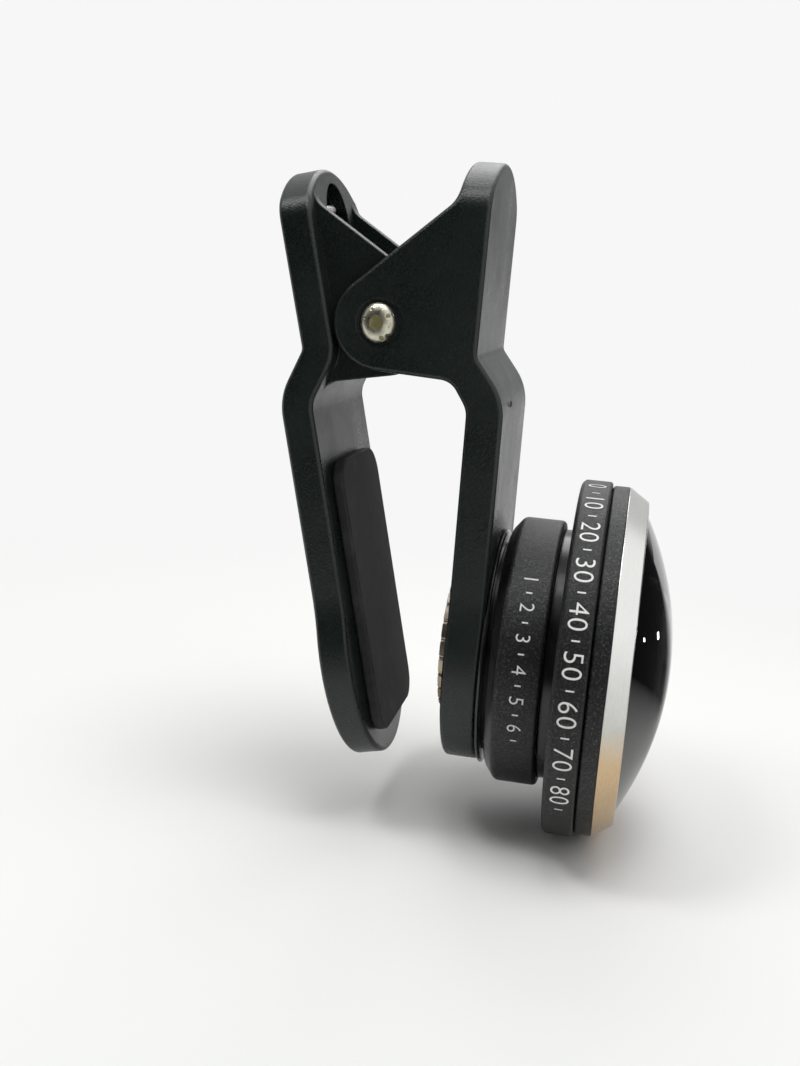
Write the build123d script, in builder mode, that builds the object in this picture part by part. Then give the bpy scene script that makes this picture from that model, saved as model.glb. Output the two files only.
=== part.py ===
from build123d import *
from math import asin, atan, atan2, cos, degrees, hypot, radians, sin, sqrt, tan
import os

# Clip-on phone lens: a fisheye unit screwed on a macro unit, on a sprung clip.
# Sizes are in millimetres. The origin is on the optical axis, in the plane
# that rests on the back of the phone. +X runs out along the optical axis,
# +Y across the clip and +Z up the clip arms.

# Clip, both arms
clip_width = 22.0
pin_x = -7.9
pin_z = 33.4
tongue_top = 16.3
tongue_rise = 4.0
tongue_corner = 3.0
tongue_trim = 1.0
end_overhang = 1.2
end_blend = 14.0
handle_lean = 0.6
rim_bevel = 0.3
pocket_width = 9.0
pocket_depth = 1.6
pocket_margin = 1.4

# Lens arm, with its cheeks outside; reaches are from the pin to the outer face
contact_height = 1.1
lens_jaw_wall = 3.6
lens_handle_wall = 3.2
lens_handle_reach = 9.6
lens_upper_kink = 2.5
lens_lower_kink = 6.3
lens_cheek_wall = 2.2
lens_cheek_tip_gap = 0.3
lens_cheek_angle = 41.5
lens_lower_edge_angle = 2.8

# Pad arm, with its cheeks inside those of the lens arm
grip_angle = 13.2
pad_jaw_reach = 11.2
pad_jaw_wall = 3.2
pad_handle_reach = 8.1
pad_handle_wall = 3.2
pad_upper_kink = 1.4
pad_lower_kink = 5.7
pad_cheek_wall = 1.8
pad_cheek_tip_gap = 1.2
pad_cheek_angle = 45.5
pad_lower_edge_angle = -2.5
cheek_gap = 0.1

# Blends of the arm profiles
cheek_blend = 2.0
tongue_blend = 2.4
jaw_bend = 6.0
handle_bend = 1.0

# Jaw pad
pad_thickness = 1.2
pad_width = 16.0
pad_top = 13.0
pad_below_axis = 8.6
pad_corner = 3.0

# Rivet and spring
rivet_radius = 1.4
rivet_head_radius = 1.95
rivet_head_height = 0.95
rivet_head_flat = 0.7
rivet_head_rim = 0.25
rivet_seat_depth = 0.25
rivet_seat_margin = 0.3
pivot_clearance = 0.04
wire_diameter = 1.0
wire_gap = 0.1
coil_radius = 2.75
coil_turns = 5
leg_rise = 1.6
hook_length = 4.0
hook_bend = 1.2

# Screwed and seated joints, radial clearances
thread_clearance = 0.05
glass_clearance = 0.05

# Macro unit
stub_wall = 1.65
macro_neck_step = 1.5
macro_neck_length = 0.45
macro_rim_step = 1.5
macro_wall = 2.5
macro_chamfer_length = 1.15
macro_length = 5.9
front_edge_chamfer = 0.25
collar_overhang = 0.3
collar_thickness = 0.45
macro_glass_radius = 5.8
macro_glass_edge = 1.2
macro_glass_curve = 14.0
macro_glass_margin = 0.1
macro_seat_width = 0.7
macro_seat_depth = 3.4
macro_seat_lip = 0.6
macro_spacer_length = 0.6
retainer_flange_step = 0.3
retainer_flange = 0.8
retainer_notches = 24
retainer_notch_radius = 0.3
socket_gap = 0.25

# Fisheye unit, barrels and trim ring
neck_wall = 4.0
neck_margin = 0.15
shoulder_wall = 1.6
shoulder_length = 1.25
shell_floor = 1.2
shell_step = 0.35
shell_edge = 0.4
print_band_length = 3.2
front_band_wall = 0.6
front_band_length = 1.76
front_band_edge = 0.2
skirt_gap = 0.1
ledge_width = 1.1
ledge_depth = 1.3
trim_skirt_wall = 1.05
trim_skirt_length = 1.36
trim_taper = 1.45
trim_lip = 0.7
trim_lip_depth = 0.63

# Fisheye unit, glass and what holds it
front_glass_radius = 16.6
front_glass_edge = 3.47
dome_curve = 31.5
front_hollow_rim = 5.8
front_hollow_depth = 6.2
seal_thickness = 0.5
seal_width = 0.9
second_glass_step = 1.3
second_glass_edge = 1.6
second_front_curve = 28.0
second_hollow_depth = 2.05
second_hollow_rim = 3.1
stop_thickness = 0.2
stop_width = 1.9
rear_glass_radius = 7.5
rear_glass_edge = 1.3
rear_glass_curve = 20.0
rear_glass_margin = 0.2
rear_glass_back_curve = 30.0
rear_seat_lip = 0.6
rear_seat_width = 1.3
rear_retainer_length = 1.5
rear_retainer_wall = 1.3
baffle_steps = 4
baffle_lip = 0.3
baffle_gap = 0.15

# Radii of the macro unit, from its glass outwards
macro_seat_radius = macro_glass_radius - macro_seat_width
macro_glass_clear = macro_seat_radius - macro_glass_margin
macro_bore = macro_glass_radius + glass_clearance
macro_stub_radius = macro_bore + stub_wall
retainer_flange_radius = macro_stub_radius - retainer_flange_step
arm_hole_radius = macro_stub_radius + thread_clearance

# Radii of the fisheye unit and of the socket that takes its neck
rear_bore = rear_glass_radius + glass_clearance
rear_seat_aperture = rear_glass_radius - rear_seat_width
stop_aperture = rear_glass_radius - stop_width
rear_glass_clear = stop_aperture - rear_glass_margin
rear_retainer_bore = rear_glass_radius - rear_retainer_wall
rear_glass_back_clear = rear_retainer_bore - rear_glass_margin
neck_radius = rear_bore + neck_wall
socket_radius = neck_radius + thread_clearance
shoulder_radius = socket_radius + shoulder_wall
macro_radius = socket_radius + macro_wall
macro_rim_radius = macro_radius - macro_rim_step
macro_neck_radius = macro_rim_radius - macro_neck_step
front_hollow_radius = front_glass_radius - front_hollow_rim
second_glass_radius = front_hollow_radius - second_glass_step
second_hollow_radius = second_glass_radius - second_hollow_rim
second_bore = second_glass_radius + glass_clearance
glass_bore = front_glass_radius + glass_clearance
ledge_radius = front_glass_radius - ledge_width
skirt_radius = glass_bore + trim_skirt_wall
skirt_bore = skirt_radius + thread_clearance
front_band_radius = skirt_bore + front_band_wall
shell_radius = front_band_radius + shell_step
trim_front_radius = front_band_radius - trim_taper
lip_radius = trim_front_radius - trim_lip

# Places along the optical axis, from the phone outwards
arm_inner_x = contact_height
arm_outer_x = arm_inner_x + lens_jaw_wall
collar_front_x = arm_outer_x + collar_thickness
stub_rear_x = retainer_flange
macro_seat_x = stub_rear_x + macro_seat_depth
macro_glass_rear_x = macro_seat_x - macro_glass_edge
spacer_rear_x = macro_glass_rear_x - macro_spacer_length
macro_rim_x = collar_front_x + macro_neck_length
macro_front_x = collar_front_x + macro_length
shell_rear_x = macro_front_x + shoulder_length
floor_x = shell_rear_x + shell_floor
second_rear_x = floor_x - second_glass_edge
rear_seat_x = second_rear_x - rear_seat_lip
rear_glass_front_x = rear_seat_x - stop_thickness
rear_glass_rear_x = rear_glass_front_x - rear_glass_edge
rear_retainer_x = rear_glass_rear_x - rear_retainer_length
neck_rear_x = rear_retainer_x - neck_margin
socket_floor_x = neck_rear_x - socket_gap
seam_x = shell_rear_x + print_band_length
trim_rear_x = seam_x + front_band_length
trim_skirt_x = trim_rear_x - trim_skirt_length
ledge_x = floor_x + ledge_depth
glass_rear_x = ledge_x + seal_thickness
glass_front_x = glass_rear_x + front_glass_edge
trim_front_x = glass_front_x + trim_lip_depth

# Widths across the clip
half_width = clip_width / 2
end_radius = half_width + end_overhang
collar_radius = end_radius + collar_overhang
lens_cheek_inner = half_width - lens_cheek_wall
pad_cheek_outer = lens_cheek_inner - cheek_gap
pad_cheek_inner = pad_cheek_outer - pad_cheek_wall

# Reaches and radii from the pin
lens_jaw_reach = arm_outer_x - pin_x
lens_cheek_radius = pad_handle_reach - pad_handle_wall - lens_cheek_tip_gap
pad_cheek_radius = lens_handle_reach - lens_handle_wall - pad_cheek_tip_gap
pad_bottom = pin_z + pad_below_axis
leg_length = tongue_top - pocket_margin - pocket_width / 2 + leg_rise

os.makedirs("parts", exist_ok=True)


def sag(curve, radius):
    """Depth of a spherical face of the given curve radius at a rim radius."""
    return curve - sqrt(curve**2 - radius**2)


def section(points):
    """Half section of a turned piece, from its (x, radius) points."""
    with BuildSketch(Plane.XZ) as half:
        with BuildLine():
            Polyline(*points, close=True)
        make_face()
    return half.sketch


def finish(piece, name):
    """Label a piece and write its file."""
    piece.part.label = name
    export_step(piece.part, f"parts/{name}.step")


def cap(rim_x, rim, curve, side):
    """Spherical face from its rim to the axis; side is +1 where it bulges towards +X."""
    apex = rim_x + side * sag(curve, rim)
    middle = apex - side * sag(curve, rim / 2)
    return ThreePointArc((rim_x, rim), (middle, rim / 2), (apex, 0))


def glass_section(rear_x, rear_clear, rear_curve, rear_side, front_x, front_clear, front_curve, rim):
    """Half section of a lens with a flat rim outside each polished face."""
    with BuildSketch(Plane.XZ) as half:
        with BuildLine():
            rear = cap(rear_x, rear_clear, rear_curve, rear_side)
            front = cap(front_x, front_clear, front_curve, 1)
            Line(rear @ 1, front @ 1)
            Line(rear @ 0, (rear_x, rim))
            Line((rear_x, rim), (front_x, rim))
            if front_clear < rim:
                Line((front_x, rim), front @ 0)
        make_face()
    return half.sketch


# Each arm is drawn from the pin: x out to the strap, y up the handle
lens_plane = Plane(origin=(pin_x, 0, pin_z), x_dir=(1, 0, 0), z_dir=(0, -1, 0))
grip = radians(grip_angle)
pad_plane = Plane(
    origin=(pin_x, 0, pin_z), x_dir=(-cos(grip), 0, -sin(grip)), z_dir=(0, 1, 0)
)


def strap_outline(handle_reach, handle_wall, jaw_reach, jaw_wall, upper_kink, lower_kink):
    """Corner points of the bent strap: outer face upwards, inner face downwards."""
    bend = atan2(jaw_reach - handle_reach, lower_kink - upper_kink)
    top = tongue_top + tongue_trim
    lean = (top + upper_kink) * tan(radians(handle_lean))
    foot = -(pin_z + end_radius)
    return [
        (jaw_reach, foot),
        (jaw_reach, -lower_kink),
        (handle_reach, -upper_kink),
        (handle_reach + lean, top),
        (handle_reach + lean - handle_wall, top),
        (handle_reach - handle_wall, -upper_kink - handle_wall * tan(bend / 2)),
        (jaw_reach - jaw_wall, -lower_kink - jaw_wall * tan(bend / 2)),
        (jaw_reach - jaw_wall, foot),
    ]


def cheek_outline(strap, radius, cheek_angle, edge_angle):
    """Corner points of a cheek, from its lower edge round by the strap to the top."""
    top, low = radians(cheek_angle), radians(edge_angle)
    handle_mid = (strap[2][0] + strap[5][0]) / 2
    jaw_mid = (strap[1][0] + strap[6][0]) / 2
    lower = (-radius * sin(low), -radius * cos(low))
    upper = (-radius * sin(top), radius * cos(top))
    return [
        (0, 0),
        lower,
        (jaw_mid, lower[1] - (jaw_mid - lower[0]) * tan(low)),
        (handle_mid, (strap[2][1] + strap[5][1]) / 2),
        (handle_mid, upper[1] + (handle_mid - upper[0]) * tan(top)),
        upper,
    ]


def corner(sketch, x, y):
    """The vertex of a sketch that lies nearest to a point."""
    return sketch.vertices().sort_by_distance((x, y, 0))[0]


def round_jaw_bend(sketch, strap):
    """Round the strap's bend above the jaw, outside and inside."""
    fillet(corner(sketch, *strap[1]), radius=jaw_bend)
    fillet(corner(sketch, *strap[6]), radius=jaw_bend - strap[1][0] + strap[6][0])


def slope_crossing(strap, cheek):
    """Point where the lower edge of a cheek meets the strap's slope above the jaw."""
    (x1, y1), (x2, y2) = cheek[1], cheek[2]
    (x3, y3), (x4, y4) = strap[5], strap[6]
    edge, slope = (y2 - y1) / (x2 - x1), (y4 - y3) / (x4 - x3)
    x = (y3 - y1 + edge * x1 - slope * x3) / (edge - slope)
    return x, y1 + edge * (x - x1)


def arm_body(plane, strap, cheek, cheek_radius, cheek_inner, cheek_outer):
    """Strap, cheeks and rounded ends of one arm, inside the caller's builder."""
    handle_face, handle_wall = strap[5][0], strap[3][0] - strap[4][0]
    with BuildSketch(plane) as strap_face:
        with BuildLine():
            Polyline(*strap, close=True)
        make_face()
        round_jaw_bend(strap_face, strap)
        fillet(corner(strap_face, *strap[2]), radius=handle_bend)
        fillet(corner(strap_face, *strap[5]), radius=handle_bend + handle_wall)
    extrude(strap_face.sketch, amount=max(half_width, end_radius), both=True)

    for side in (-1, 1):
        with BuildSketch(plane.offset(side * cheek_inner)) as cheek_face:
            with BuildLine():
                Polyline(*strap, close=True)
            make_face()
            with BuildLine():
                Polyline(*cheek, close=True)
            make_face()
            Circle(cheek_radius)
            round_jaw_bend(cheek_face, strap)
            fillet(corner(cheek_face, *strap[2]), radius=handle_bend)
            slope = (cheek[4][1] - cheek[5][1]) / (cheek[4][0] - cheek[5][0])
            tongue_foot = cheek[5][1] + (handle_face - cheek[5][0]) * slope
            fillet(corner(cheek_face, handle_face, tongue_foot), radius=tongue_blend)
            fillet(corner(cheek_face, *slope_crossing(strap, cheek)), radius=cheek_blend)
        extrude(cheek_face.sketch, amount=side * (cheek_outer - cheek_inner))

    across = Plane(origin=plane.origin, x_dir=(0, 1, 0), z_dir=-plane.x_dir)
    up = 1 if across.y_dir.Z > 0 else -1
    shoulder = (half_width, up * (tongue_top - tongue_rise))
    with BuildSketch(across) as face_outline:
        with BuildLine():
            ThreePointArc(shoulder, (0, up * tongue_top), (-half_width, shoulder[1]))
            Polyline((-half_width, shoulder[1]), (-half_width, -up * pin_z), (half_width, -up * pin_z), shoulder)
        make_face()
        for side in (-1, 1):
            fillet(corner(face_outline, side * half_width, shoulder[1]), radius=tongue_corner)
        with Locations((0, -up * pin_z)):
            Circle(end_radius)
        neck = sqrt(end_radius**2 - half_width**2) - pin_z
        for side in (-1, 1):
            fillet(corner(face_outline, side * half_width, up * neck), radius=end_blend)
    extrude(face_outline.sketch, amount=3 * clip_width, both=True, mode=Mode.INTERSECT)
    return face_outline.sketch.face().outer_wire()


def rim_edges(arm, plane, outline):
    """Edges that run round the outline of an arm, without the seams across it."""
    found = ShapeList()
    for edge in arm.edges():
        middle = plane.to_local_coords(edge.position_at(0.5))
        seen = plane.from_local_coords(Vector(0, middle.Y, middle.Z))
        crosses = abs(edge.tangent_at(0.5).dot(plane.x_dir)) > 0.9999
        if not crosses and outline.distance_to(Vertex(*seen)) < 0.001:
            found.append(edge)
    return found


def spring_pocket(plane, strap):
    """Cut the arched pocket that takes a spring leg in the inside of a handle."""
    floor = strap[5][0] + pocket_depth
    bottom = strap[5][1] + handle_bend
    arch = tongue_top - pocket_margin - pocket_width / 2
    flat = Plane(
        origin=plane.from_local_coords(Vector(floor, 0, 0)),
        x_dir=(0, 1, 0),
        z_dir=-plane.x_dir,
    )
    up = 1 if flat.y_dir.Z > 0 else -1
    with BuildSketch(flat) as pocket:
        with Locations((0, up * (arch + bottom) / 2)):
            Rectangle(pocket_width, arch - bottom)
        with Locations((0, up * arch)):
            Circle(pocket_width / 2)
    extrude(pocket.sketch, amount=pocket_depth + tongue_blend, mode=Mode.SUBTRACT)


def pivot_bore(plane):
    """Bore an arm for the rivet."""
    with BuildSketch(plane) as bore:
        Circle(rivet_radius + pivot_clearance)
    extrude(bore.sketch, amount=clip_width, both=True, mode=Mode.SUBTRACT)


# Lens arm
lens_strap = strap_outline(
    lens_handle_reach, lens_handle_wall, lens_jaw_reach, lens_jaw_wall, lens_upper_kink, lens_lower_kink
)
lens_cheek = cheek_outline(lens_strap, lens_cheek_radius, lens_cheek_angle, lens_lower_edge_angle)
with BuildPart() as lens_arm:
    outline = arm_body(
        lens_plane, lens_strap, lens_cheek, lens_cheek_radius, lens_cheek_inner, half_width
    )
    chamfer(rim_edges(lens_arm, lens_plane, outline), rim_bevel)
    spring_pocket(lens_plane, lens_strap)
    pivot_bore(lens_plane)
    for seat_side in (-1, 1):
        with BuildSketch(lens_plane.offset(seat_side * (half_width - rivet_seat_depth))):
            Circle(rivet_head_radius + rivet_seat_margin)
        extrude(amount=seat_side * rivet_seat_depth, mode=Mode.SUBTRACT)
    with BuildSketch(Plane.YZ.offset(arm_inner_x)):
        Circle(arm_hole_radius)
    extrude(amount=lens_jaw_wall, mode=Mode.SUBTRACT)
finish(lens_arm, "lens_arm")

# Pad arm
pad_strap = strap_outline(
    pad_handle_reach, pad_handle_wall, pad_jaw_reach, pad_jaw_wall, pad_upper_kink, pad_lower_kink
)
pad_cheek = cheek_outline(pad_strap, pad_cheek_radius, pad_cheek_angle, pad_lower_edge_angle)
with BuildPart() as pad_arm:
    outline = arm_body(
        pad_plane, pad_strap, pad_cheek, pad_cheek_radius, pad_cheek_inner, pad_cheek_outer
    )
    chamfer(rim_edges(pad_arm, pad_plane, outline), rim_bevel)
    spring_pocket(pad_plane, pad_strap)
    pivot_bore(pad_plane)
finish(pad_arm, "pad_arm")

# Jaw pad, a rounded rubber strip on the inside of the pad arm's jaw
pad_base = Plane(
    origin=pad_plane.from_local_coords(Vector(pad_jaw_reach - pad_jaw_wall, 0, 0)),
    x_dir=(0, 1, 0),
    z_dir=-pad_plane.x_dir,
)
pad_up = 1 if pad_base.y_dir.Z > 0 else -1
with BuildPart() as jaw_pad:
    with BuildSketch(pad_base):
        with Locations((0, -pad_up * (pad_top + pad_bottom) / 2)):
            RectangleRounded(pad_width, pad_bottom - pad_top, pad_corner)
    extrude(amount=pad_thickness)
finish(jaw_pad, "jaw_pad")


def rivet_section(plane):
    """Half section of the rivet: a shank with a domed head at each end."""
    seat = half_width - rivet_seat_depth
    top = seat + rivet_head_height
    rise = rivet_head_height - rivet_head_rim
    with BuildSketch(plane) as half:
        with BuildLine():
            Line((0, -top), (rivet_head_flat, -top))
            TangentArc((rivet_head_flat, -top), (rivet_head_radius, rise - top), tangent=(1, 0.15))
            Line((rivet_head_radius, rise - top), (rivet_head_radius, -seat))
            Polyline((rivet_head_radius, -seat), (rivet_radius, -seat), (rivet_radius, seat))
            Line((rivet_radius, seat), (rivet_head_radius, seat))
            Line((rivet_head_radius, seat), (rivet_head_radius, top - rise))
            TangentArc((rivet_head_flat, top), (rivet_head_radius, top - rise), tangent=(1, -0.15))
            Line((rivet_head_flat, top), (0, top))
            Line((0, top), (0, -top))
        make_face()
    return half.sketch


# Rivet
with BuildPart() as pivot_rivet:
    rivet_plane = Plane(origin=(pin_x, 0, pin_z), x_dir=(1, 0, 0), z_dir=(0, 0, 1))
    revolve(rivet_section(rivet_plane), axis=Axis((pin_x, 0, pin_z), (0, 1, 0)))
finish(pivot_rivet, "pivot_rivet")


def leg_slant(floor):
    """Angle between a spring leg and its handle, so that its hook lies on the pocket floor."""
    reach = floor - wire_diameter / 2 - glass_clearance
    length = leg_length + hook_bend
    return asin(reach / hypot(coil_radius, length)) - atan(coil_radius / length)


# Torsion spring: legs in the two handle pockets, each with a hook across its pocket
pad_slant = grip + leg_slant(pad_strap[5][0] + pocket_depth)
lens_slant = leg_slant(lens_strap[5][0] + pocket_depth)
turned_angle = 360 * coil_turns + 180 - degrees(pad_slant + lens_slant)
coil_pitch = wire_diameter + wire_gap
coil_length = coil_pitch * turned_angle / 360
pin_axis = Axis((pin_x, 0, pin_z), (0, 1, 0))
with BuildPart() as torsion_spring:
    coil = Helix(
        coil_pitch, coil_length, coil_radius, center=(pin_x, -coil_length / 2, pin_z),
        direction=(0, 1, 0), lefthand=True,
    )
    start = coil.position_at(0)
    found_angle = degrees(atan2(start.Z - pin_z, start.X - pin_x))
    coil = coil.rotate(pin_axis, found_angle - 180 - degrees(pad_slant))
    with BuildLine() as wire:
        add(coil)
        for end, side in ((0, -1), (1, 1)):
            root = coil.position_at(end)
            along = coil.tangent_at(end) * side
            leg_end = root + along * leg_length
            Line(root, leg_end)
            hook_start = leg_end + along * hook_bend + Vector(0, -side * hook_bend, 0)
            bend = TangentArc(leg_end, hook_start, tangent=along)
            Line(bend @ 1, (bend @ 1) + (bend % 1) * hook_length)
    first = wire.wire().position_at(0)
    with BuildSketch(Plane(origin=first, z_dir=wire.wire().tangent_at(0))):
        Circle(wire_diameter / 2)
    sweep(path=wire.wire())
finish(torsion_spring, "torsion_spring")

# Collar between the lens arm and the macro barrel
with BuildPart() as mount_collar:
    revolve(section([
        (arm_outer_x, arm_hole_radius),
        (arm_outer_x, collar_radius - collar_thickness / 3),
        (arm_outer_x + collar_thickness / 3, collar_radius),
        (collar_front_x - collar_thickness / 3, collar_radius),
        (collar_front_x, collar_radius - collar_thickness / 3),
        (collar_front_x, arm_hole_radius),
    ]), axis=Axis.X)
finish(mount_collar, "mount_collar")

# Macro barrel: threaded stub, grooved neck, chamfered body and socket
with BuildPart() as macro_barrel:
    revolve(section([
        (stub_rear_x, macro_bore),
        (stub_rear_x, macro_stub_radius),
        (collar_front_x, macro_stub_radius),
        (collar_front_x, macro_neck_radius),
        (macro_rim_x, macro_neck_radius),
        (macro_rim_x, macro_rim_radius),
        (macro_rim_x + macro_chamfer_length, macro_radius),
        (macro_front_x - front_edge_chamfer, macro_radius),
        (macro_front_x, macro_radius - front_edge_chamfer),
        (macro_front_x, socket_radius),
        (socket_floor_x, socket_radius),
        (macro_seat_x + macro_seat_lip, macro_seat_radius),
        (macro_seat_x, macro_seat_radius),
        (macro_seat_x, macro_bore),
    ]), axis=Axis.X)
finish(macro_barrel, "macro_barrel")

# Macro lens, its spacer and the notched ring that holds them from behind
with BuildPart() as macro_lens:
    revolve(glass_section(
        macro_glass_rear_x, macro_glass_clear, macro_glass_curve, -1,
        macro_seat_x, macro_glass_clear, macro_glass_curve, macro_glass_radius,
    ), axis=Axis.X)
finish(macro_lens, "macro_lens")

with BuildPart() as macro_spacer:
    revolve(section([
        (spacer_rear_x, macro_seat_radius),
        (spacer_rear_x, macro_glass_radius),
        (macro_glass_rear_x, macro_glass_radius),
        (macro_glass_rear_x, macro_seat_radius),
    ]), axis=Axis.X)
finish(macro_spacer, "macro_spacer")

with BuildPart() as macro_retainer:
    revolve(section([
        (0, macro_seat_radius),
        (0, retainer_flange_radius),
        (retainer_flange, retainer_flange_radius),
        (retainer_flange, macro_glass_radius),
        (spacer_rear_x, macro_glass_radius),
        (spacer_rear_x, macro_seat_radius),
    ]), axis=Axis.X)
    with BuildSketch(Plane.YZ):
        with PolarLocations(retainer_flange_radius, retainer_notches):
            Circle(retainer_notch_radius)
    extrude(amount=retainer_flange, mode=Mode.SUBTRACT)
finish(macro_retainer, "macro_retainer")

# Fisheye barrel: threaded neck, shoulder, printed band and lens seats
with BuildPart() as fisheye_barrel:
    revolve(section([
        (neck_rear_x, rear_bore),
        (neck_rear_x, neck_radius),
        (macro_front_x, neck_radius),
        (macro_front_x, shoulder_radius),
        (shell_rear_x, shoulder_radius),
        (shell_rear_x, shell_radius - shell_edge),
        (shell_rear_x + shell_edge, shell_radius),
        (seam_x - front_band_edge, shell_radius),
        (seam_x, shell_radius - front_band_edge),
        (seam_x, skirt_bore),
        (floor_x, skirt_bore),
        (floor_x, second_bore),
        (second_rear_x, second_bore),
        (second_rear_x, rear_seat_aperture),
        (rear_seat_x, rear_seat_aperture),
        (rear_seat_x, rear_bore),
    ]), axis=Axis.X)
finish(fisheye_barrel, "fisheye_barrel")

# Front barrel, screwed in the fisheye barrel; its ledge carries the front glass
with BuildPart() as front_barrel:
    revolve(section([
        (floor_x + skirt_gap, ledge_radius),
        (floor_x + skirt_gap, skirt_radius),
        (seam_x, skirt_radius),
        (seam_x, front_band_radius - front_band_edge),
        (seam_x + front_band_edge, front_band_radius),
        (trim_rear_x, front_band_radius),
        (trim_rear_x, skirt_bore),
        (trim_skirt_x, skirt_bore),
        (trim_skirt_x, glass_bore),
        (ledge_x, glass_bore),
        (ledge_x, ledge_radius),
    ]), axis=Axis.X)
finish(front_barrel, "front_barrel")

# Trim ring, the bright cone that clamps the front glass
lip_x = glass_front_x + sag(dome_curve, front_glass_radius) - sag(dome_curve, lip_radius) + glass_clearance
with BuildPart() as trim_ring:
    revolve(section([
        (trim_skirt_x, glass_bore),
        (trim_skirt_x, skirt_radius),
        (trim_rear_x, skirt_radius),
        (trim_rear_x, front_band_radius),
        (trim_front_x, trim_front_radius),
        (trim_front_x, lip_radius),
        (lip_x, lip_radius),
        (lip_x, glass_bore),
    ]), axis=Axis.X)
finish(trim_ring, "trim_ring")

# Front glass, a domed meniscus, and the seal under its rim
front_hollow_curve = (front_hollow_radius**2 + front_hollow_depth**2) / (2 * front_hollow_depth)
with BuildPart() as front_lens:
    revolve(glass_section(
        glass_rear_x, front_hollow_radius, front_hollow_curve, 1,
        glass_front_x, front_glass_radius, dome_curve, front_glass_radius,
    ), axis=Axis.X)
finish(front_lens, "front_lens")

with BuildPart() as front_seal:
    revolve(section([
        (ledge_x, front_glass_radius - seal_width),
        (ledge_x, front_glass_radius),
        (glass_rear_x, front_glass_radius),
        (glass_rear_x, front_glass_radius - seal_width),
    ]), axis=Axis.X)
finish(front_seal, "front_seal")


def baffle_points():
    """Section of the stepped light baffle, from its lip over the second lens outwards."""
    outer = ledge_radius - baffle_gap
    front = glass_rear_x - baffle_gap
    inner = second_glass_radius - baffle_lip
    length = (front - floor_x - baffle_lip) / baffle_steps
    rise = (outer - inner) / (baffle_steps + 1)
    points = [(floor_x, outer), (floor_x, second_bore), (floor_x + baffle_lip, inner)]
    for step in range(baffle_steps):
        points.append((floor_x + baffle_lip + (step + 1) * length, inner + step * rise))
        points.append((floor_x + baffle_lip + (step + 1) * length, inner + (step + 1) * rise))
    points.append((front, outer))
    return points


# Light baffle behind the front glass
with BuildPart() as light_baffle:
    revolve(section(baffle_points()), axis=Axis.X)
finish(light_baffle, "light_baffle")

# Second lens, a deep meniscus
second_hollow_curve = (second_hollow_radius**2 + second_hollow_depth**2) / (2 * second_hollow_depth)
with BuildPart() as second_lens:
    revolve(glass_section(
        second_rear_x, second_hollow_radius, second_hollow_curve, 1,
        floor_x, second_glass_radius, second_front_curve, second_glass_radius,
    ), axis=Axis.X)
finish(second_lens, "second_lens")

# Aperture stop, rear lens and the ring that holds them in the neck
with BuildPart() as aperture_stop:
    revolve(section([
        (rear_glass_front_x, stop_aperture),
        (rear_glass_front_x, rear_glass_radius),
        (rear_seat_x, rear_glass_radius),
        (rear_seat_x, stop_aperture),
    ]), axis=Axis.X)
finish(aperture_stop, "aperture_stop")

with BuildPart() as rear_lens:
    revolve(glass_section(
        rear_glass_rear_x, rear_glass_back_clear, rear_glass_back_curve, -1,
        rear_glass_front_x, rear_glass_clear, rear_glass_curve, rear_glass_radius,
    ), axis=Axis.X)
finish(rear_lens, "rear_lens")

with BuildPart() as rear_retainer:
    revolve(section([
        (rear_retainer_x, rear_retainer_bore),
        (rear_retainer_x, rear_glass_radius),
        (rear_glass_rear_x, rear_glass_radius),
        (rear_glass_rear_x, rear_retainer_bore),
    ]), axis=Axis.X)
finish(rear_retainer, "rear_retainer")
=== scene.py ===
"""Studio scene of a clip-on phone lens: a fisheye unit on a macro unit, on a sprung clip.

Lengths in the classes are in millimetres in the part's own frame: +X runs out along the
optical axis, +Y across the clip and +Z up the clip arms. Meshes are built in metres.
"""
import logging
import math
from dataclasses import dataclass
from enum import Enum
from typing import Iterable, Optional

import bmesh
import bpy
from mathutils import Matrix, Vector


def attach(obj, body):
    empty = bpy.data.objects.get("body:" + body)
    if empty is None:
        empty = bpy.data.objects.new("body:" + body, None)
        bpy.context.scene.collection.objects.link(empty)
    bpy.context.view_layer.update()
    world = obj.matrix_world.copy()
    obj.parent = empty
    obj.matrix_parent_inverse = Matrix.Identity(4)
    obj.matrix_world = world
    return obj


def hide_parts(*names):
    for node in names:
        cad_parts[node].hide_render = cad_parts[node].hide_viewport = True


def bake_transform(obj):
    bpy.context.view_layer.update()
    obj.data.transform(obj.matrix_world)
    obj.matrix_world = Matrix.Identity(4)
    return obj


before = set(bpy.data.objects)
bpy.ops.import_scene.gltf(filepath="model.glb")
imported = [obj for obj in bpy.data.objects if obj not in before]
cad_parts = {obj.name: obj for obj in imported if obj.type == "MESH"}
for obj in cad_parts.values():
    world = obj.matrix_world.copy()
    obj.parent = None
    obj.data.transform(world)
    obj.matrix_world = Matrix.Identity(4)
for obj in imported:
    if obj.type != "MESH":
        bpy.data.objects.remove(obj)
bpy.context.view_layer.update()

MM = 0.001
TAU = 2 * math.pi
PIN_X = -7.9
PIN_Z = 33.4
LOG = logging.getLogger("phone_lens")

Colour = tuple[float, float, float]


class Body(Enum):
    """Bodies of the frame that pieces ride on."""

    CLIP = "clip"
    GRIP_ARM = "grip_arm"
    MACRO_UNIT = "macro_unit"
    FISHEYE_UNIT = "fisheye_unit"


class Slot(Enum):
    """Names of the record's material slots for the new pieces; nothing reads them."""

    ARM = "arm_plastic"
    PAD = "pad_rubber"
    RIVET = "rivet_metal"
    WIRE = "spring_wire"
    COLLAR = "collar_gloss"
    BARREL = "barrel_black"
    RING = "ring_black"
    TRIM = "trim_bright"


# Materials


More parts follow.
